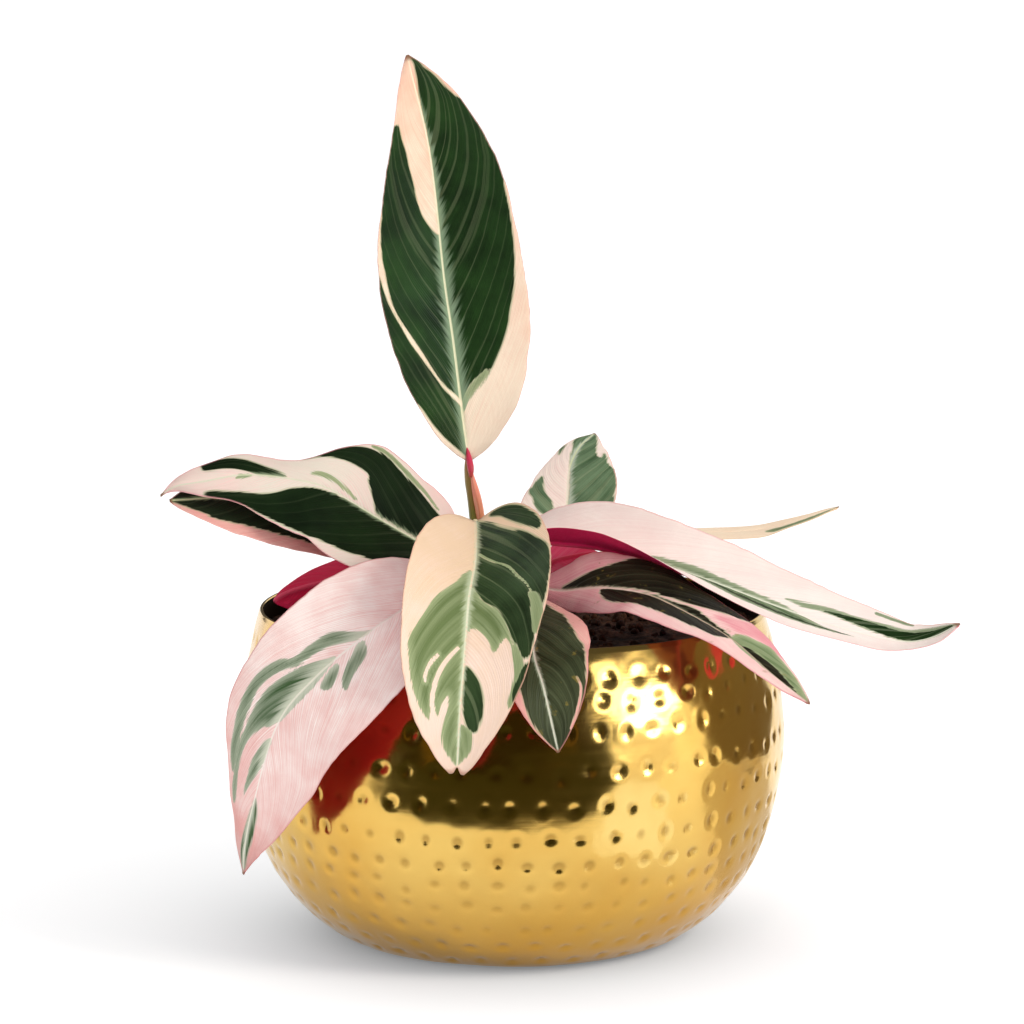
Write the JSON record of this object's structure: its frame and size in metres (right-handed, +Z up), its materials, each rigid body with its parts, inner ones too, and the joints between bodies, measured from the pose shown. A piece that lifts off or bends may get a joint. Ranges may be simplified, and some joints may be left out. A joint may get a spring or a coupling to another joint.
{
  "type": "potted stromanthe",
  "caption": "Variegated prayer plant with dark green, cream and pink leaves and crimson undersides, in an open hammered brass bowl.",
  "frame": {"origin": "the middle of the bowl's flat base", "axes": "+Z up the plant, -Y to its front where the most leaves hang over the bowl, +X to the right seen from the front"},
  "size_m": [0.2873, 0.2194, 0.3252],
  "materials": {
    "hammered_brass": "hammered with small round dimples and polished with fine spun lines",
    "potting_soil": "dark, crumbly and matt",
    "rhizome": "fibrous brown leaf bases",
    "leaf_blade": "satin leaf in dark green, grey green, cream and pink, with a crimson underside",
    "leaf_stalk": "smooth olive to reddish stalk",
    "leaf_sheath": "smooth salmon sheath",
    "furled_leaf": "satin crimson"
  },
  "bodies": {
    "root": {"bowl": "hammered_brass", "soil": "potting_soil", "crown": "rhizome", "leaf_upright": "leaf_blade", "leaf_left_upper": "leaf_blade", "leaf_left_under": "leaf_blade", "leaf_left_low": "leaf_blade", "leaf_front_left": "leaf_blade", "leaf_front": "leaf_blade", "leaf_front_right": "leaf_blade", "leaf_back": "leaf_blade", "leaf_right_long": "leaf_blade", "leaf_right_low": "leaf_blade", "leaf_right_back": "leaf_blade", "leaf_inner": "leaf_blade", "stalk_upright": "leaf_stalk", "stalk_left_upper": "leaf_stalk", "stalk_left_under": "leaf_stalk", "stalk_left_low": "leaf_stalk", "stalk_front_left": "leaf_stalk", "stalk_front": "leaf_stalk", "stalk_front_right": "leaf_stalk", "stalk_back": "leaf_stalk", "stalk_right_long": "leaf_stalk", "stalk_right_low": "leaf_stalk", "stalk_right_back": "leaf_stalk", "stalk_inner": "leaf_stalk", "sheath_upright": "leaf_sheath", "shoot_upright": "furled_leaf"}
  },
  "joints": []
}
